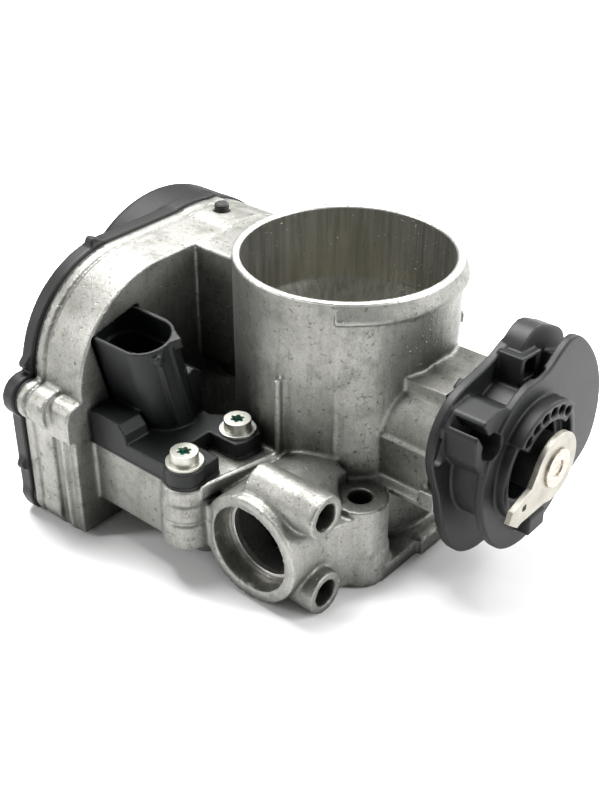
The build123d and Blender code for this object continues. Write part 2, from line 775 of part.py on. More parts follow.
with BuildPart() as connector_terminals:
    with BuildSketch(socket_plane(-socket_depth - 3.9)):
        with GridLocations(4.6, 5.0, 4, 2):
            Rectangle(terminal_width, 0.64)
    extrude(amount=terminal_length + 3.9)
save(connector_terminals, "connector_terminals")

with BuildPart() as connector_screws:
    for x, y in socket_screw_xy:
        seat = Plane(origin=(x, y, base_top + 0.02))
        torx_screw(seat, socket_head_radius, socket_head_height, socket_screw_radius, socket_screw_length,
                   washer_radius)
save(connector_screws, "connector_screws")

# ---- idle motor ----
with BuildPart() as motor_can:
    with BuildSketch(across(motor_front_x, motor_y, motor_z)):
        Circle(motor_radius)
    extrude(amount=motor_end_cap_x - motor_front_x)
    with BuildSketch(across(motor_front_x + 1.2, motor_y, motor_z)):
        Circle(motor_radius - motor_can_wall)
    extrude(amount=motor_end_cap_x - motor_front_x, mode=Mode.SUBTRACT)
    with BuildSketch(across(motor_front_x - 2, motor_y, motor_z)):
        Circle(motor_shaft_radius + running_gap)
    extrude(amount=4, mode=Mode.SUBTRACT)
save(motor_can, "motor_can")

with BuildPart() as motor_magnets:
    with BuildSketch(across(motor_front_x + 4, motor_y, motor_z)):
        Circle(motor_radius - motor_can_wall - press_gap)
        Circle(motor_radius - motor_can_wall - press_gap - magnet_thickness, mode=Mode.SUBTRACT)
        Rectangle(4 * motor_radius, 6, mode=Mode.SUBTRACT)
    extrude(amount=magnet_length)
save(motor_magnets, "motor_magnets")

with BuildPart() as motor_end_cap:
    with BuildSketch(across(motor_end_cap_x, motor_y, motor_z)):
        Circle(motor_radius)
        Circle(motor_shaft_radius + running_gap, mode=Mode.SUBTRACT)
    extrude(amount=motor_cap_length)
    with BuildSketch(across(motor_end_cap_x, motor_y, motor_z)):
        Circle(motor_radius - motor_can_wall - 0.1)
        Circle(motor_radius - 2.6, mode=Mode.SUBTRACT)
    extrude(amount=-3)
save(motor_end_cap, "motor_end_cap")

with BuildPart() as motor_rotor:
    with BuildSketch(across(motor_front_x + 5, motor_y, motor_z)):
        Circle(rotor_radius)
        with PolarLocations(rotor_radius - 1.5, rotor_slots):
            Rectangle(4.4, 1.6, mode=Mode.SUBTRACT)
    extrude(amount=18)
    with BuildSketch(across(motor_front_x + 22.9, motor_y, motor_z)):
        Circle(4.0)
    extrude(amount=5)
    with BuildSketch(across(large_gear_x - 0.6, motor_y, motor_z)):
        Circle(motor_shaft_radius)
    extrude(amount=motor_back_x - 0.4 - large_gear_x)
save(motor_rotor, "motor_rotor")

# tooth angles that put the three gear pairs in mesh at rest
sector_tooth_angle = 180.0
small_tooth_angle = 180.0 / idler_small_teeth
large_tooth_angle = motor_direction
pinion_tooth_angle = motor_direction + 180.0 + 180.0 / motor_teeth

with BuildPart() as motor_pinion:
    with BuildSketch(across(large_gear_x, motor_y, motor_z)):
        with BuildLine():
            Polyline(*gear_points(motor_teeth, pinion_tooth_angle), close=True)
        make_face()
        Circle(motor_shaft_radius + press_gap, mode=Mode.SUBTRACT)
    extrude(amount=gear_thickness)
save(motor_pinion, "motor_pinion")

# ---- intermediate gear and its pin ----
with BuildPart() as intermediate_gear:
    with BuildSketch(across(large_gear_x, idler_y, idler_z)):
        with BuildLine():
            Polyline(*gear_points(idler_large_teeth, large_tooth_angle), close=True)
        make_face()
    extrude(amount=gear_thickness)
    with BuildSketch(across(large_gear_x - 1, idler_y, idler_z)):
        Circle(19)
        Circle(9.6, mode=Mode.SUBTRACT)
    extrude(amount=1.9, mode=Mode.SUBTRACT)
    with BuildSketch(across(sector_x, idler_y, idler_z)):
        with BuildLine():
            Polyline(*gear_points(idler_small_teeth, small_tooth_angle), close=True)
        make_face()
    extrude(amount=large_gear_x - sector_x + 0.5)
    with BuildSketch(across(large_gear_x + 1, idler_y, idler_z)):
        Circle(4.2)
    extrude(amount=chamber_floor_x - large_gear_x - 1.3)
    with BuildSketch(across(chamber_face_x, idler_y, idler_z)):
        Circle(idler_pin_radius + running_gap)
    extrude(amount=12, mode=Mode.SUBTRACT)
save(intermediate_gear, "intermediate_gear")

with BuildPart() as gear_pin:
    with BuildSketch(across(chamber_face_x - 0.5, idler_y, idler_z)):
        Circle(idler_pin_radius)
    extrude(amount=chamber_floor_x - chamber_face_x + 4.4)
save(gear_pin, "gear_pin")

# ---- idle sector, loose on the shaft, with a dog pin that lifts the throttle lever ----
with BuildPart() as idle_sector:
    with BuildSketch(across(sector_x)):
        with BuildLine():
            Polyline(*gear_points(sector_teeth, sector_tooth_angle), close=True)
        make_face()
        with Locations((17, 0)):
            Rectangle(50, 60, mode=Mode.SUBTRACT)
        Circle(9)
        with Locations(Location((*polar(10, dog_pin_angle), 0), dog_pin_angle)):
            Rectangle(18, 7)
        with Locations((0, -17)):
            Rectangle(7, 26)
    extrude(amount=gear_thickness)
    with BuildSketch(across(sector_x)):
        for degrees in (158, 180, 202):
            with Locations(polar(15.5, degrees)):
                Circle(2.4)
    extrude(amount=gear_thickness, mode=Mode.SUBTRACT)
    with BuildSketch(across(sector_x + gear_thickness - 0.1)):
        Circle(7.5)
    extrude(amount=chamber_floor_x - sector_x - gear_thickness - 0.4)
    with BuildSketch(across(sector_x + 0.1)):
        with Locations(polar(dog_radius, dog_pin_angle)):
            Circle(2)
    extrude(amount=dog_lever_x - sector_x - 0.1)
    with BuildSketch(across(sector_x + 0.1)):
        with Locations((0, -28)):
            Rectangle(4, 3)
    extrude(amount=sensor_board_x + 3.3 - sector_x)
    with BuildSketch(across(chamber_face_x - 1)):
        Circle(shaft_radius + running_gap)
    extrude(amount=20, mode=Mode.SUBTRACT)
save(idle_sector, "idle_sector")

with BuildPart() as idle_wiper:
    with BuildSketch(across(sensor_board_x + 3.3)):
        with Locations((0, -28)):
            Rectangle(6, 2.4)
    extrude(amount=-0.5)
    for y in (-1.8, 0.0, 1.8):
        with BuildSketch(across(sensor_board_x + 2.9)):
            with Locations((y, -27.4)):
                Rectangle(0.6, 0.8)
        extrude(amount=-2.6)
save(idle_wiper, "idle_wiper")

# ---- throttle shaft, plate and levers ----
with BuildPart() as throttle_shaft:
    with BuildSketch(across(shaft_start_x)):
        Circle(shaft_radius)
    extrude(amount=hub_end_x - shaft_start_x)
    with BuildSketch(across(hub_end_x - 0.1)):
        Circle(shaft_radius - 1)
    extrude(amount=lever_thickness + 0.3)
    with BuildSketch(across(hub_end_x + lever_thickness + 0.02)):
        Circle(rivet_radius)
        Circle(2.4, mode=Mode.SUBTRACT)
    extrude(amount=0.7)
    with BuildSketch(across(hub_end_x + lever_thickness)):
        Circle(2.6)
    extrude(amount=0.35)
    # slot for the plate and holes for its two screws
    with BuildSketch(plate_plane(-(plate_thickness / 2 + 0.03))):
        Rectangle(2 * bore_radius + 0.6, 4 * shaft_radius)
    extrude(amount=plate_thickness + 0.06, mode=Mode.SUBTRACT)
    with BuildSketch(plate_plane(-2 * shaft_radius)):
        with Locations((-plate_screw_offset, 0), (plate_screw_offset, 0)):
            Circle(plate_screw_radius + press_gap)
    extrude(amount=4 * shaft_radius, mode=Mode.SUBTRACT)
save(throttle_shaft, "throttle_shaft")

with BuildPart() as throttle_plate:
    with BuildSketch(plate_plane(-plate_thickness / 2)):
        Rectangle(3 * bore_radius, 3 * bore_radius)
    extrude(amount=plate_thickness)
    with BuildSketch(Plane.XY.offset(shaft_z - 30)):
        Circle(bore_radius - plate_gap)
    extrude(amount=60, mode=Mode.INTERSECT)
    with BuildSketch(plate_plane(-5)):
        with Locations((-plate_screw_offset, 0), (plate_screw_offset, 0)):
            Circle(plate_screw_radius + press_gap)
    extrude(amount=10, mode=Mode.SUBTRACT)
save(throttle_plate, "throttle_plate")

with BuildPart() as plate_screws:
    for x in (-plate_screw_offset, plate_screw_offset):
        with BuildSketch(plate_plane(-shaft_radius + 0.6)):
            with Locations((x, 0)):
                Circle(plate_screw_radius)
        extrude(amount=2 * shaft_radius)
        with BuildSketch(plate_plane(shaft_radius + 0.02)):
            with Locations((x, 0)):
                Circle(plate_screw_radius + 1.5)
        extrude(amount=1.6)
        with BuildSketch(plate_plane(shaft_radius + 0.7)):
            with Locations((x, 0)):
                Rectangle(6, 0.8)
        extrude(amount=2, mode=Mode.SUBTRACT)
save(plate_screws, "plate_screws")

with BuildPart() as dog_lever:
    with BuildSketch(across(dog_lever_x)):
        Circle(8.5)
        with Locations(Location((*polar(11, dog_lever_angle), 0), dog_lever_angle)):
            Rectangle(17, 5.6)
        Circle(shaft_radius + press_gap, mode=Mode.SUBTRACT)
    extrude(amount=1.8)
save(dog_lever, "dog_lever")

with BuildPart() as wiper_carrier:
    with BuildSketch(across(shaft_start_x - 1.6)):
        Circle(9)
        with Locations(Location((*polar(13, wiper_angle), 0), wiper_angle)):
            Rectangle(14, 8)
    extrude(amount=1.4)
    with BuildSketch(across(shaft_start_x - 0.3)):
        Circle(8)
        Circle(shaft_radius + press_gap, mode=Mode.SUBTRACT)
    extrude(amount=1.4)
save(wiper_carrier, "wiper_carrier")

with BuildPart() as wiper_contacts:
    with BuildSketch(carrier_plane(shaft_start_x - 1.62, wiper_reach)):
        with Locations(Location((0, 0, 0), wiper_angle - 90)):
            Rectangle(6.4, 4)
    extrude(amount=-0.5)
    for side in (-2.2, 0.0, 2.2):
        with BuildSketch(carrier_plane(shaft_start_x - 2.0, wiper_reach + side * 0.6)):
            Rectangle(0.7, 0.7)
        extrude(amount=sensor_board_x + 0.3 - shaft_start_x + 2.0)
save(wiper_contacts, "wiper_contacts")

with BuildPart() as sensor_board:
    with BuildSketch(across(sensor_board_x)):
        Circle(cover_dome_radius - 2.6)
        Circle(3, mode=Mode.SUBTRACT)
    extrude(amount=-sensor_board_thickness)
save(sensor_board, "sensor_board")

with BuildPart() as shaft_clip:
    with BuildSketch(across(dog_lever_x + 2.0)):
        Circle(7.2)
        Circle(shaft_radius + press_gap, mode=Mode.SUBTRACT)
        with Locations((0, -6)):
            Rectangle(6, 12, mode=Mode.SUBTRACT)
    extrude(amount=0.8)
save(shaft_clip, "shaft_clip")

# ---- bearings and seals, pressed into the housing ----
for x, label in ((drive_bearing_x, "drive_side_bearing"), (quadrant_bearing_x, "quadrant_side_bearing")):
    with BuildPart() as bearing:
        with BuildSketch(across(x)):
            Circle(bearing_radius)
            Circle(shaft_radius + running_gap, mode=Mode.SUBTRACT)
        extrude(amount=bearing_length)
        chamfer(bearing.edges().filter_by(GeomType.CIRCLE).group_by(SortBy.RADIUS)[-1], 0.4)
    save(bearing, label)

with BuildPart() as shaft_seals:
    for x in (drive_bearing_x + bearing_length + 0.1, quadrant_bearing_x - seal_length + 0.1):
        with BuildSketch(across(x)):
            Circle(bearing_radius)
            Circle(shaft_radius + 0.06, mode=Mode.SUBTRACT)
        extrude(amount=seal_length - 0.2)
save(shaft_seals, "shaft_seals")

# ---- cable quadrant ----
with BuildPart() as cable_quadrant:
    # hub, and the drum that the cable wraps
    with BuildSketch(across(quadrant_back_x - 1.5)):
        Circle(quadrant_hub_radius)
    extrude(amount=hub_end_x - quadrant_back_x + 1.5)
    with BuildSketch(across(quadrant_back_x)):
        Circle(drum_radius)
    extrude(amount=front_flange_x - quadrant_back_x)
    # rear flange, cam shaped
    with BuildSketch(across(quadrant_back_x)):
        cam_outline(((-122, 31.6), (-150, 26.6), (-172, 25.8), (168, 29.6), (150, 32.0), (134, 31.4),
                     (116, 28.2),
                     (96, 27.4), (80, 30.5), (62, 31.5), (40, 30), (0, 31), (-40, 33), (-75, 34.5),
                     (-100, 34.4)))
    extrude(amount=rear_flange_thickness)
    # front flange: low beside the cable, broad where it becomes the wing
    with BuildSketch(across(front_flange_x - 0.4)):
        cam_outline(((-120, 26.5), (-150, 23.6), (180, 22.6), (150, 23.0), (120, 23.6), (98, 23.8),
                     (80, 24.4),
                     (70, 28.6), (61, 33.4), (45, 34.6), (20, 35.8), (-6, 36.8), (-22, 35.6), (-36, 31),
                     (-60, 29.4),
                     (-95, 28.6)))
    extrude(amount=front_flange_thickness)
    # web that carries the wing
    with BuildSketch(across(quadrant_back_x + rear_flange_thickness - 0.1)):
        with BuildLine():
            Polyline(polar(19, 66), polar(27.6, 62), polar(30, 45), polar(30, 10), polar(30, -20),
                     polar(19, -24),
                     close=True)
        make_face()
    extrude(amount=front_flange_x - quadrant_back_x - rear_flange_thickness)
    # cup ring and the raised arc with its row of holes
    with BuildSketch(across(front_flange_x + 1)):
        Circle(cup_radius)
        Circle(cup_radius - 2.0, mode=Mode.SUBTRACT)
    extrude(amount=4.2)
    with BuildSketch(across(front_flange_x + 1)):
        with BuildLine():
            arc_outer = CenterArc((0, 0), cup_radius + 0.4, arc_start, arc_sweep)
            arc_inner = CenterArc((0, 0), cup_radius - 5.2, arc_start, arc_sweep)
            Line(arc_outer @ 0, arc_inner @ 0)
            Line(arc_outer @ 1, arc_inner @ 1)
        make_face()
    extrude(amount=5.6)
    with BuildSketch(across(front_flange_x + 3.4)):
        for hole in range(arc_holes):
            degrees = arc_start + 9 + hole * (arc_sweep - 18) / (arc_holes - 1)
            with Locations(Location((*polar(cup_radius - 2.4, degrees), 0), degrees + 90)):
                SlotOverall(3.3, 2.6)
    extrude(amount=6, mode=Mode.SUBTRACT)
    # hook that holds the cable's nipple
    with BuildSketch(across(quadrant_back_x + 3)):
        with BuildLine():
            Polyline((-13, 2.5), (-20.5, 3.6), (-25.4, 9.6), (-26.4, 17.6), (-22.4, 21.2), (-15.6, 22.0),
                     (-9.6, 19.4), (-6.5, 12), close=True)
        make_face()
    extrude(amount=10)
    fillet(cable_quadrant.edges().filter_by(Axis.X).filter_by(lambda e: e.center().X > 53 and
           math.hypot(e.center().Y + 17, e.center().Z - shaft_z - 12) < 11.5
           and math.hypot(e.center().Y, e.center().Z - shaft_z) > 24), 1.6)
    with BuildSketch(across(quadrant_back_x + rear_flange_thickness + 1.6)):
        with Locations(nipple_yz):
            Circle(nipple_radius)
        with Locations(Location((-23.5, 18.2, 0), 124)):
            Rectangle(14, 3.0)
    extrude(amount=14, mode=Mode.SUBTRACT)
    # horn and the slotted block at the top
    with BuildSketch(across(quadrant_back_x + 0.8)):
        with BuildLine():
            Spline(polar(23, 88), polar(31.4, 83), polar(34.2, 75), polar(34.4, 62), polar(34.6, 50),
                   polar(31, 38),
                   polar(24, 32))
            Line(polar(24, 32), polar(23, 88))
        make_face()
    extrude(amount=6.4)
    with BuildSketch(across(quadrant_back_x + 2)):
        with Locations(Location((*polar(23.2, 84), 0), -6)):
            Rectangle(9.4, 10.4)
    extrude(amount=7.6)
    with BuildSketch(across(quadrant_back_x + 4.4)):
        with Locations(Location((*polar(24.6, 84), 0), -6)):
            Rectangle(5.6, 5.6)
    extrude(amount=8, mode=Mode.SUBTRACT)
    # stop dogs on the back
    for start, span in ((stop_dog_angle, 10.0), (full_dog_angle, 9.0)):
        with BuildSketch(across(quadrant_back_x + 0.5)):
            with BuildLine():
                dog_outer = CenterArc((0, 0), dog_outer_radius, start, span)
                dog_inner = CenterArc((0, 0), dog_inner_radius, start, span)
                Line(dog_outer @ 0, dog_inner @ 0)
                Line(dog_outer @ 1, dog_inner @ 1)
            make_face()
        extrude(amount=-dog_depth)
    # spring seat at the back, cup at the front and the bore
    with BuildSketch(across(quadrant_back_x - 0.5)):
        Circle(15.2)
        Circle(quadrant_hub_radius, mode=Mode.SUBTRACT)
    extrude(amount=3.5, mode=Mode.SUBTRACT)
    with BuildSketch(across(front_flange_x - 6)):
        Circle(cup_radius - 5.2)
        Circle(quadrant_hub_radius, mode=Mode.SUBTRACT)
    extrude(amount=14, mode=Mode.SUBTRACT)
    # window in the rear flange beside the hook
    with BuildSketch(across(quadrant_back_x - 1)):
        with Locations(Location((*polar(27, 158), 0), 68)):
            SlotOverall(10, 5)
    extrude(amount=4.2, mode=Mode.SUBTRACT)
    # tab behind the lever's arm
    with BuildSketch(across(front_flange_x + 1)):
        with Locations((-0.6, -19.2)):
            Rectangle(8, 5.4)
    extrude(amount=5.6)
    with BuildSketch(across(quadrant_back_x - 5)):
        Circle(shaft_radius + press_gap)
    extrude(amount=40, mode=Mode.SUBTRACT)
save(cable_quadrant, "cable_quadrant")

with BuildPart() as drive_lever:
    with BuildSketch(across(hub_end_x)):
        Circle(lever_radius)
        with BuildLine():
            Polyline((-9.4, 3.6), (-12, -0.6), (-20.2, -3.2), (-21.6, -6.4), (-17.2, -9.8), (-15.4, -9.2),
                     (-4, -9.3),
                     (6, -8), close=True)
        make_face()
        Circle(shaft_radius - 1 + 0.01, mode=Mode.SUBTRACT)
        with Locations((-14.6, -4.9)):
            Circle(1.1, mode=Mode.SUBTRACT)
    extrude(amount=lever_thickness)
save(drive_lever, "drive_lever")

# ---- return spring around the hub, between the housing and the quadrant ----
with BuildPart() as return_spring:
    with BuildLine() as coil:
        Helix(pitch=2.0, height=5.0, radius=spring_radius, center=(spring_x, 0, shaft_z),
              direction=(1, 0, 0))
    with BuildSketch(Plane(origin=coil.line @ 0, z_dir=coil.line % 0)):
        Circle(spring_wire_radius)
    sweep(is_frenet=True)
save(return_spring, "return_spring")

# ---- throttle stop ----
with BuildPart() as throttle_stop_screw:
    with BuildSketch(Plane.XY.offset(stop_tip_z - 14)):
        with Locations((stop_x, stop_y)):
            Circle(stop_radius)
    extrude(amount=14)
    chamfer(throttle_stop_screw.edges().group_by(Axis.Z)[-1], 0.6)
    with BuildSketch(Plane.XY.offset(stop_tip_z - 14.5)):
        with Locations((stop_x, stop_y)):
            RegularPolygon(1.2, 6, mode=Mode.ADD)
    extrude(amount=1.6, mode=Mode.SUBTRACT)
save(throttle_stop_screw, "throttle_stop_screw")

with BuildPart() as stop_screw_nut:
    with BuildSketch(Plane.XY.offset(stop_lug_bottom_z - 3.1)):
        with Locations((stop_x, stop_y)):
            RegularPolygon(3.9, 6)
            Circle(stop_radius + press_gap, mode=Mode.SUBTRACT)
    extrude(amount=3.0)
save(stop_screw_nut, "stop_screw_nut")

# ---- ring in the side port, and the plug on top of the gear chamber ----
with BuildPart() as port_ring:
    with BuildSketch(facing_front(port_face_y + port_seat_depth, port_x, port_z)):
        Circle(port_ring_radius)
        Circle(port_ring_radius - port_ring_width, mode=Mode.SUBTRACT)
    extrude(amount=-port_ring_length)
save(port_ring, "port_ring")

with BuildPart() as top_plug:
    with BuildSketch(Plane.XY.offset(chamber_top_z - plug_depth)):
        with Locations(plug_xy):
            Circle(plug_radius)
    extrude(amount=plug_depth + plug_rise)
    chamfer(top_plug.edges().group_by(Axis.Z)[-1], 0.5)
    for groove in range(3):
        with BuildSketch(Plane.XY.offset(chamber_top_z + 0.4 + groove * 0.7)):
            with Locations(plug_xy):
                Circle(plug_radius + 1)
                Circle(plug_radius - 0.3, mode=Mode.SUBTRACT)
        extrude(amount=0.3, mode=Mode.SUBTRACT)
save(top_plug, "top_plug")
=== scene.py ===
import json
import bpy
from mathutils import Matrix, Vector

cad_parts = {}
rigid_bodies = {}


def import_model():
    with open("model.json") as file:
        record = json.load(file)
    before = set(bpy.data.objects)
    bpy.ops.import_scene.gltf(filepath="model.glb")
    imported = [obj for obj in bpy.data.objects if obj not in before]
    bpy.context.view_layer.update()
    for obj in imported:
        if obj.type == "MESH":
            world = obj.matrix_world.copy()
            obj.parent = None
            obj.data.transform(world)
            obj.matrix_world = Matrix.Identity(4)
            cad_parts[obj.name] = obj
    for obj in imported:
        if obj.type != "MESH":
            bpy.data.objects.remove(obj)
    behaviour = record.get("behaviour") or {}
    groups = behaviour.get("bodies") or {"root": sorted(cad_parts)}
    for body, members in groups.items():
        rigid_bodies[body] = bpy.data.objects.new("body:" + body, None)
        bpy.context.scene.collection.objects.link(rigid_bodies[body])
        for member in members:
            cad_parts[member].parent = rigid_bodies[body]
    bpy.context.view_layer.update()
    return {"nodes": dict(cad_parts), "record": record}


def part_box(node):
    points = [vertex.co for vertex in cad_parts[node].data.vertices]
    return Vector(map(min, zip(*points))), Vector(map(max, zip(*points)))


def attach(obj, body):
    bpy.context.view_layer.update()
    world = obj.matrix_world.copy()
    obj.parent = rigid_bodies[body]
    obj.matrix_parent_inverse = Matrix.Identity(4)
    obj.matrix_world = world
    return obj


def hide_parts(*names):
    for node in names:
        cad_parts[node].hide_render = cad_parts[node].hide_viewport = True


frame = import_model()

nodes = frame["nodes"]
subparts = frame["record"]["subparts"]
bpy.ops.object.select_all(action="DESELECT")
mm = 0.001
housing = {  # where the casting is machined
    "throatRadius": 30 * mm, "rimHeight": 79.4 * mm, "portX": 13.5 * mm, "portZ": 16.7 * mm,
    "portRadius": 12.9 * mm, "portFace": -50 * mm, "bossEnd": 52 * mm,
}


class Val:  # a shader socket; arithmetic on it adds Math nodes
    def __init__(self, mat, socket):
        self.mat = mat
        self.socket = socket

    def math(self, operation, *others):
        return self.mat.node("ShaderNodeMath", {"operation": operation}, self, *others)

    def __add__(self, other):
        return self.math("ADD", other)

    def __radd__(self, other):
        return self.math("ADD", other)

    def __sub__(self, other):
        return self.math("SUBTRACT", other)

    def __rsub__(self, other):
        return self.mat.node("ShaderNodeMath", {"operation": "SUBTRACT"}, other, self)

    def __mul__(self, other):
        return self.math("MULTIPLY", other)

    def __rmul__(self, other):
        return self.math("MULTIPLY", other)

    def __pow__(self, other):
        return self.math("POWER", other)

    def below(self, other):
        return self.math("LESS_THAN", other)

    def above(self, other):
        return self.math("GREATER_THAN", other)

    def between(self, low, high):  # 0 at low, 1 at high, held outside
        return self.mat.node("ShaderNodeMapRange", {"clamp": True}, self, low, high)


class Mat:
    def __init__(self, name):
        self.material = bpy.data.materials.new(name)
        self.material.use_nodes = True
        self.tree = self.material.node_tree
        self.tree.nodes.clear()
        self.bsdf = self.tree.nodes.new("ShaderNodeBsdfPrincipled")
        self.out = self.tree.nodes.new("ShaderNodeOutputMaterial")
        self.tree.links.new(self.bsdf.outputs[0], self.out.inputs["Surface"])

    def node(self, kind, settings, *values, out=0, **named):
        made = self.tree.nodes.new(kind)
        for key, value in settings.items():
            setattr(made, key, value)
        for i, value in enumerate(values):
            self.feed(made.inputs[i], value)
        for key, value in named.items():
            self.feed(made.inputs[key.replace("_", " ")], value)
        return Val(self, made.outputs[out])

    def feed(self, socket, value):
        if isinstance(value, Val):
            self.tree.links.new(value.socket, socket)
            return
        if hasattr(socket.default_value, "__len__") and len(value) == 3 and len(socket.default_value) == 4:
            value = (*value, 1)
        socket.default_value = value

    def place(self):  # Object coordinates
        return self.node("ShaderNodeTexCoord", {}, out=3)

    def split(self, vector):
        made = self.tree.nodes.new("ShaderNodeSeparateXYZ")
        self.feed(made.inputs[0], vector)
        return [Val(self, s) for s in made.outputs]

    def noise(self, where, scale, detail, rough):
        settings = {"Vector": where, "Scale": scale, "Detail": detail, "Roughness": rough}
        return self.node("ShaderNodeTexNoise", {}, **settings)

    def stretch(self, where, scale):
        return self.node("ShaderNodeMapping", {}, Vector=where, Scale=scale)

    def mix(self, share, first, second):
        made = self.tree.nodes.new("ShaderNodeMix")
        made.data_type = "RGBA"
        self.feed(made.inputs["Factor"], share)
        self.feed(made.inputs[6], first)
        self.feed(made.inputs[7], second)
        return Val(self, made.outputs[2])

    def bump(self, height, strength, distance, normal=None):
        made = self.node("ShaderNodeBump", {}, Strength=strength, Distance=distance, Height=height)
        if normal is not None:
            self.tree.links.new(normal.socket, made.socket.node.inputs["Normal"])
        return made

    def edges(self, radius):  # rounded normal, and a mask that is bright along edges
        soft = self.node("ShaderNodeBevel", {"samples": 6}, Radius=radius)
        plain = self.node("ShaderNodeNewGeometry", {}, out=1)
        same = self.node("ShaderNodeVectorMath", {"operation": "DOT_PRODUCT"}, soft, plain, out=1)
        return soft, same.between(0.995, 0.86)

    def finish(self, **inputs):
        for key, value in inputs.items():
            self.feed(self.bsdf.inputs[key.replace("_", " ")], value)
        return self.material


def castAluminium():
    look = {
        "light": (0.36, 0.357, 0.335), "mid": (0.235, 0.235, 0.215), "dark": (0.105, 0.107, 0.092),
        "pit": (0.03, 0.03, 0.024), "edge": (0.68, 0.675, 0.65), "machined": (0.30, 0.298, 0.272),
        # on the next line: the painted shade colour for deep corners, and how far that painted shade reaches
        "recess": (0.026, 0.029, 0.022), "recessReach": 20 * mm, "bumpDepth": 0.18 * mm,
        "dragScale": (520, 520, 60), "streakScale": (700, 700, 34),
    }
    m = Mat("castAluminium")
    where = m.place()
    x, y, z = m.split(where)
    worn = m.node("ShaderNodeNewGeometry", {}, out=7).between(0.525, 0.60)  # raised edges of a dense mesh
    broad = m.noise(where, 34, 4, 0.6)
    patches = m.noise(where, 150, 6, 0.68)
    grain = m.noise(where, 1400, 3, 0.7)
    drag = m.noise(m.stretch(where, look["dragScale"]), 1.0, 4, 0.7)  # drawn down the mould
    speck = m.noise(where, 560, 3, 0.6).between(0.62, 0.70)
    burr = m.noise(where, 1900, 2, 0.6).between(0.66, 0.74)
    pits = m.noise(where, 820, 1, 0.5).between(0.70, 0.76)
    tone = m.mix(broad.between(0.36, 0.64), look["mid"], look["light"])
    tone = m.mix(patches.between(0.50, 0.74) * 0.65, tone, look["dark"])
    tone = m.mix(drag.between(0.52, 0.72) * 0.35, tone, look["dark"])
    tone = m.mix(grain.between(0.45, 0.75) * 0.32, tone, look["dark"])
    tone = m.mix(speck * 0.6, tone, look["pit"])
    tone = m.mix(burr * 0.45, tone, look["edge"])
    tone = m.mix(worn * 0.7, tone, look["edge"])
    # painted shade: deep corners and recesses are darkened from ambient occlusion
    unoccluded = m.node("ShaderNodeAmbientOcclusion", {"samples": 4}, Distance=look["recessReach"], out=1)
    # painted shade mixed into the base colour where the AO node finds occlusion
    tone = m.mix(unoccluded.between(0.80, 0.30) * 0.85, tone, look["recess"])
    # the throat, the rim, the mounting face and the side port's seat are machined
    reach = (x * x + y * y) ** 0.5
    fromPort = ((x - housing["portX"]) ** 2.0 + (z - housing["portZ"]) ** 2.0) ** 0.5
    seat = fromPort.below(housing["portRadius"]) * y.below(housing["portFace"])
    throat = reach.below(housing["throatRadius"] + 0.45 * mm)
    rim = z.above(housing["rimHeight"] - 0.05 * mm)
    machined = (throat + rim + z.below(0.15 * mm) + seat).between(0, 1)
    streaks = m.noise(m.stretch(where, look["streakScale"]), 1.0, 4, 0.6)
    wall = m.mix(streaks.between(0.40, 0.66) * 0.6, look["machined"], look["dark"])
    wall = m.mix(broad.between(0.4, 0.62) * 0.4, wall, look["mid"])
    wall = m.mix(rim * 0.7, wall, look["edge"])
    tone = m.mix(machined, tone, wall)
    rough = 0.36 + grain * 0.14 + patches * 0.14 - worn * 0.08 - machined * 0.06
    bumps = m.bump(grain * 0.45 + patches * 1.9 + drag * 0.6 - pits * 1.5, 0.6, look["bumpDepth"])
    return m.finish(Base_Color=tone, Roughness=rough, Metallic=0.92, Normal=bumps)


def blackPlastic(name, tint, grainScale, shine):
    look = {
        "lighter": [c * 1.5 + 0.001 for c in tint], "rubbed": (0.09, 0.09, 0.085), "scuff": (0.08, 0.08, 0.075),
        "scuffScale": (260, 900, 420), "edgeRadius": 0.5 * mm, "bumpDepth": 0.08 * mm,
    }
    m = Mat(name)
    where = m.place()
    soft, worn = m.edges(look["edgeRadius"])
    cloud = m.noise(where, 90, 4, 0.6)
    grain = m.noise(where, grainScale, 3, 0.65)
    scuff = m.noise(m.stretch(where, look["scuffScale"]), 1.0, 4, 0.7).between(0.62, 0.76)
    tone = m.mix(cloud.between(0.35, 0.7) * 0.5, tint, look["lighter"])
    tone = m.mix(worn * 0.30, tone, look["rubbed"])
    tone = m.mix(scuff * 0.12, tone, look["scuff"])
    rough = shine + grain * 0.12 + cloud * 0.08 - worn * 0.06
    bumps = m.bump(grain + cloud * 1.5, 0.35, look["bumpDepth"], soft)
    return m.finish(Base_Color=tone, Roughness=rough, Specular_IOR_Level=0.30, Normal=bumps)


def plainMetal(name, tint, rough, metal=1.0, turned=(1500, 1500, 1500), dirt=0.35):
    look = {
        "dirty": [c * 0.55 for c in tint], "bright": [min(1, c * 1.25) for c in tint],
        "edgeRadius": 0.3 * mm, "bumpDepth": 0.05 * mm,
    }
    m = Mat(name)
    where = m.place()
    soft, worn = m.edges(look["edgeRadius"])
    cloud = m.noise(where, 240, 4, 0.6)
    fine = m.noise(m.stretch(where, turned), 1.0, 3, 0.6)
    tone = m.mix(cloud.between(0.4, 0.7) * dirt, tint, look["dirty"])
    tone = m.mix(worn * 0.4, tone, look["bright"])
    bumps = m.bump(fine, 0.3, look["bumpDepth"], soft)
    return m.finish(Base_Color=tone, Roughness=rough + fine * 0.16 + cloud * 0.08, Metallic=metal, Normal=bumps)


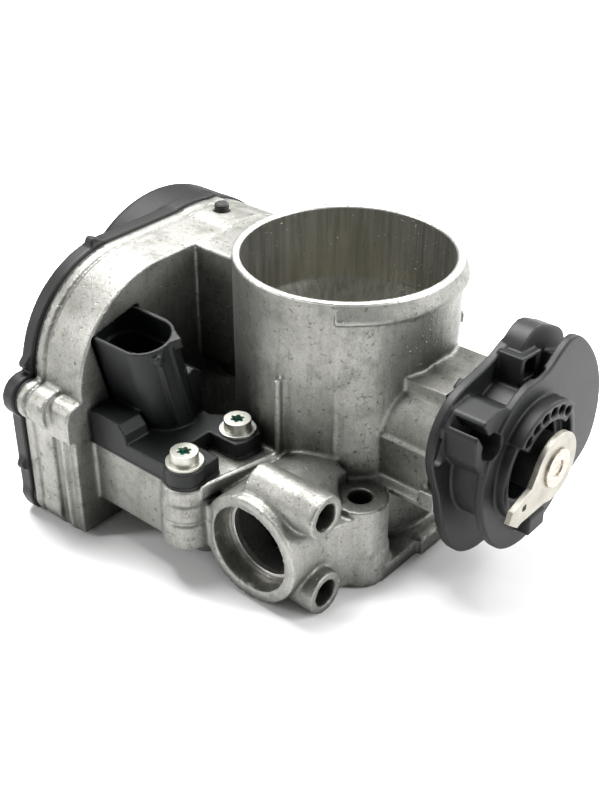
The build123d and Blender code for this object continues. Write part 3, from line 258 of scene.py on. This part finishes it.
def zincScrew():
    look = {
        "zinc": (0.50, 0.50, 0.45), "dull": (0.24, 0.24, 0.20), "edge": (0.78, 0.78, 0.74),
        "paint": (0.02, 0.20, 0.135), "recessRadius": 2.15 * mm, "washerRadius": 5.25 * mm,
        "paintTop": 0.5 * mm, "paintFull": 1.0 * mm, "edgeRadius": 0.3 * mm, "bumpDepth": 0.06 * mm,
    }
    m = Mat("zincScrew")
    where = m.place()
    x, y, z = m.split(where)
    soft, worn = m.edges(look["edgeRadius"])
    cloud = m.noise(where, 420, 4, 0.6)
    tone = m.mix(cloud.between(0.4, 0.7) * 0.45, look["zinc"], look["dull"])
    tone = m.mix(worn * 0.5, tone, look["edge"])
    # green locking paint in the recess of each connector screw
    low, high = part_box("connector_screws")
    depth = z.between(high.z - look["paintTop"], high.z - look["paintFull"])
    paint = 0
    for screwY in (low.y + look["washerRadius"], high.y - look["washerRadius"]):
        dx = x - (low.x + high.x) / 2
        dy = y - screwY
        paint = paint + ((dx * dx + dy * dy) ** 0.5).below(look["recessRadius"]) * depth
    paint = paint * m.noise(where, 700, 3, 0.6).between(0.28, 0.5)
    tone = m.mix(paint, tone, look["paint"])
    bumps = m.bump(cloud, 0.25, look["bumpDepth"], soft)
    return m.finish(Base_Color=tone, Roughness=0.36 + cloud * 0.14, Metallic=1.0 - paint * 0.9, Normal=bumps)


def nickelLever():
    look = {
        "nickel": (0.39, 0.37, 0.325), "dull": (0.28, 0.265, 0.232), "edge": (0.66, 0.64, 0.60),
        "brushScale": (400, 1400, 300), "edgeRadius": 0.3 * mm, "bumpDepth": 0.04 * mm,
    }
    m = Mat("nickelLever")
    where = m.place()
    soft, worn = m.edges(look["edgeRadius"])
    cloud = m.noise(where, 130, 5, 0.62)
    fine = m.noise(m.stretch(where, look["brushScale"]), 1.0, 3, 0.6)
    tone = m.mix(cloud.between(0.38, 0.66), look["nickel"], look["dull"])
    tone = m.mix(worn * 0.5, tone, look["edge"])
    bumps = m.bump(fine, 0.2, look["bumpDepth"], soft)
    return m.finish(Base_Color=tone, Roughness=0.34 + fine * 0.14 + cloud * 0.08, Metallic=0.92, Normal=bumps)


def shaftSteel():
    look = {
        "ground": (0.52, 0.51, 0.49), "head": (0.55, 0.50, 0.43), "headDark": (0.30, 0.27, 0.23),
        "headStart": 0.2 * mm, "edgeRadius": 0.3 * mm, "bumpDepth": 0.08 * mm,
    }
    m = Mat("shaftSteel")
    where = m.place()
    x = m.split(where)[0]
    soft = m.edges(look["edgeRadius"])[0]
    mottle = m.noise(where, 900, 4, 0.7)
    riveted = x.above(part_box("drive_lever")[1].x - look["headStart"])  # the head outside the lever
    tone = m.mix(mottle.between(0.35, 0.65), look["head"], look["headDark"])
    tone = m.mix(riveted, look["ground"], tone)
    bumps = m.bump(mottle, 0.35, look["bumpDepth"], soft)
    return m.finish(Base_Color=tone, Roughness=0.32 + mottle * 0.2, Metallic=1.0, Normal=bumps)


def matte(name, tint, rough, speck=0.3):
    look = {"darker": [c * 0.6 for c in tint], "edgeRadius": 0.3 * mm, "bumpDepth": 0.08 * mm}
    m = Mat(name)
    where = m.place()
    soft = m.edges(look["edgeRadius"])[0]
    grain = m.noise(where, 600, 4, 0.65)
    tone = m.mix(grain.between(0.4, 0.7) * speck, tint, look["darker"])
    bumps = m.bump(grain, 0.25, look["bumpDepth"], soft)
    return m.finish(Base_Color=tone, Roughness=rough + grain * 0.12, Normal=bumps)


finishes = {
    "cast_aluminium": castAluminium(),
    "cover_plastic": blackPlastic("coverPlastic", (0.009, 0.010, 0.009), 1300, 0.40),
    "connector_plastic": blackPlastic("connectorPlastic", (0.004, 0.005, 0.005), 1700, 0.38),
    "quadrant_plastic": blackPlastic("quadrantPlastic", (0.006, 0.0065, 0.0065), 1500, 0.38),
    "zinc_steel": zincScrew(),
    "shaft_steel": shaftSteel(),
    "nickel_steel": nickelLever(),
    "bearing_steel": plainMetal("bearingSteel", (0.86, 0.85, 0.82), 0.24, turned=(300, 2400, 2400), dirt=0.2),
    "rotor_steel": plainMetal("rotorSteel", (0.34, 0.33, 0.31), 0.4, turned=(4000, 200, 200)),
    "magnet": matte("magnetFerrite", (0.05, 0.05, 0.052), 0.55),
    "spring_steel": plainMetal("springSteel", (0.40, 0.40, 0.40), 0.3),
    "black_steel": plainMetal("blackSteel", (0.035, 0.035, 0.034), 0.42, metal=0.4),
    "plate_brass": plainMetal("plateBrass", (0.66, 0.60, 0.42), 0.3, turned=(120, 2600, 120)),
    "seal_rubber": matte("sealRubber", (0.018, 0.018, 0.018), 0.6),
    "gear_plastic": matte("gearPlastic", (0.62, 0.58, 0.47), 0.45, speck=0.2),
    "contact_metal": plainMetal("contactMetal", (0.70, 0.66, 0.52), 0.25),
    "board": matte("sensorBoard", (0.03, 0.10, 0.06), 0.4, speck=0.5),
}
for part in subparts:
    node = nodes[part["node"]]
    node.data.materials.clear()
    node.data.materials.append(finishes[part["material_slot"]])
print("materials assigned:", len(finishes))


def skin(source, body, voxel, passes, limit, crisp=None):  # a dense copy of a moulded piece, its edges rounded
    bpy.ops.object.select_all(action="DESELECT")
    nodes[source].select_set(True)
    bpy.context.view_layer.objects.active = nodes[source]
    bpy.ops.object.duplicate()
    made = bpy.context.object
    made.name = source + "Skin"
    bpy.ops.object.parent_clear(type="CLEAR_KEEP_TRANSFORM")
    bpy.ops.object.mode_set(mode="EDIT")
    bpy.ops.mesh.select_all(action="SELECT")
    bpy.ops.mesh.remove_doubles(threshold=0.002 * mm)
    bpy.ops.object.mode_set(mode="OBJECT")
    remesh = made.modifiers.new("remesh", "REMESH")
    remesh.mode = "VOXEL"
    remesh.voxel_size = voxel
    bpy.ops.object.modifier_apply(modifier="remesh")
    free = made.vertex_groups.new(name="free")
    free.add([v.index for v in made.data.vertices if not (crisp and crisp(v.co))], 1.0, "REPLACE")
    smooth = made.modifiers.new("smooth", "SMOOTH")
    smooth.factor = 0.5
    smooth.iterations = passes
    smooth.vertex_group = "free"
    bpy.ops.object.modifier_apply(modifier="smooth")
    triangles = len(made.data.polygons) * 2
    if triangles > limit:
        thin = made.modifiers.new("thin", "DECIMATE")
        thin.ratio = limit / triangles
        bpy.ops.object.modifier_apply(modifier="thin")
    bpy.ops.object.shade_smooth()
    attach(made, body)
    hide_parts(source)
    print("skin of", source, len(made.data.polygons), "faces")


def housingCrisp(p):  # the machined stretches keep their sharp edges
    reach = (p.x * p.x + p.y * p.y) ** 0.5
    fromPort = ((p.x - housing["portX"]) ** 2 + (p.z - housing["portZ"]) ** 2) ** 0.5
    seat = fromPort < housing["portRadius"] + 0.5 * mm and p.y < housing["portFace"]
    face = p.z > housing["rimHeight"] or p.z < 0.3 * mm
    return reach < housing["throatRadius"] + 0.3 * mm or face or seat or p.x > housing["bossEnd"]


skins = {  # voxel size, smoothing passes and most triangles of each moulded piece
    "throttle_housing": {"body": "housing", "voxel": 0.50 * mm, "passes": 5, "limit": 180000,
                         "crisp": housingCrisp},
    "gear_cover": {"body": "housing", "voxel": 0.45 * mm, "passes": 3, "limit": 90000},
    "connector_housing": {"body": "housing", "voxel": 0.28 * mm, "passes": 2, "limit": 90000},
    "cable_quadrant": {"body": "throttle", "voxel": 0.33 * mm, "passes": 3, "limit": 140000},
}
for source, settings in skins.items():
    skin(source, **settings)

view = {"place": (0.1900, -0.2415, 0.2259), "forward": (-0.550, 0.640, -0.536), "lens": 55.08, "sensor": 36}
camera = bpy.data.objects.new("camera", bpy.data.cameras.new("camera"))
bpy.context.scene.collection.objects.link(camera)
camera.data.lens = view["lens"]
camera.data.sensor_width = view["sensor"]
camera.data.clip_start = 10 * mm
camera.location = view["place"]
camera.rotation_euler = Vector(view["forward"]).to_track_quat("-Z", "Y").to_euler()
bpy.context.scene.camera = camera


def softBox(name, place, size, watts):  # aimed at the middle of the casting
    lamp = bpy.data.objects.new(name, bpy.data.lights.new(name, "AREA"))
    bpy.context.scene.collection.objects.link(lamp)
    lamp.data.shape = "RECTANGLE"
    lamp.data.size, lamp.data.size_y = size
    lamp.data.energy = watts
    lamp.location = place
    lamp.rotation_euler = (Vector((0, 0, 0.04)) - Vector(place)).to_track_quat("-Z", "Y").to_euler()


lamps = {
    "keyLight": {"place": (-0.30, 0.10, 0.80), "size": (0.45, 0.55), "watts": 17},
    "sideLight": {"place": (0.70, 0.25, 0.50), "size": (0.20, 0.55), "watts": 6},
    "backLight": {"place": (0.10, 0.75, 0.50), "size": (0.8, 0.35), "watts": 8},
    "frontFill": {"place": (-0.55, -0.60, 0.45), "size": (0.16, 0.50), "watts": 3.5},
}
for name, lamp in lamps.items():
    softBox(name, **lamp)

studio = {"skyStrength": 0.26, "floorSize": 6, "floorHeight": -0.6 * mm, "floorTone": (0.88, 0.88, 0.88)}
world = bpy.data.worlds.new("studio")
world.use_nodes = True
sky = world.node_tree.nodes["Background"]
sky.inputs["Color"].default_value = (1, 1, 1, 1)
sky.inputs["Strength"].default_value = studio["skyStrength"]
bpy.context.scene.world = world
bpy.context.scene.view_settings.view_transform = "Standard"
bpy.ops.mesh.primitive_plane_add(size=studio["floorSize"], location=(0, 0, studio["floorHeight"]))
floor = bpy.context.object
floor.name = "floor"
floor.data.materials.append(Mat("paleFloor").finish(Base_Color=studio["floorTone"], Roughness=0.8))
print("camera and lights set")
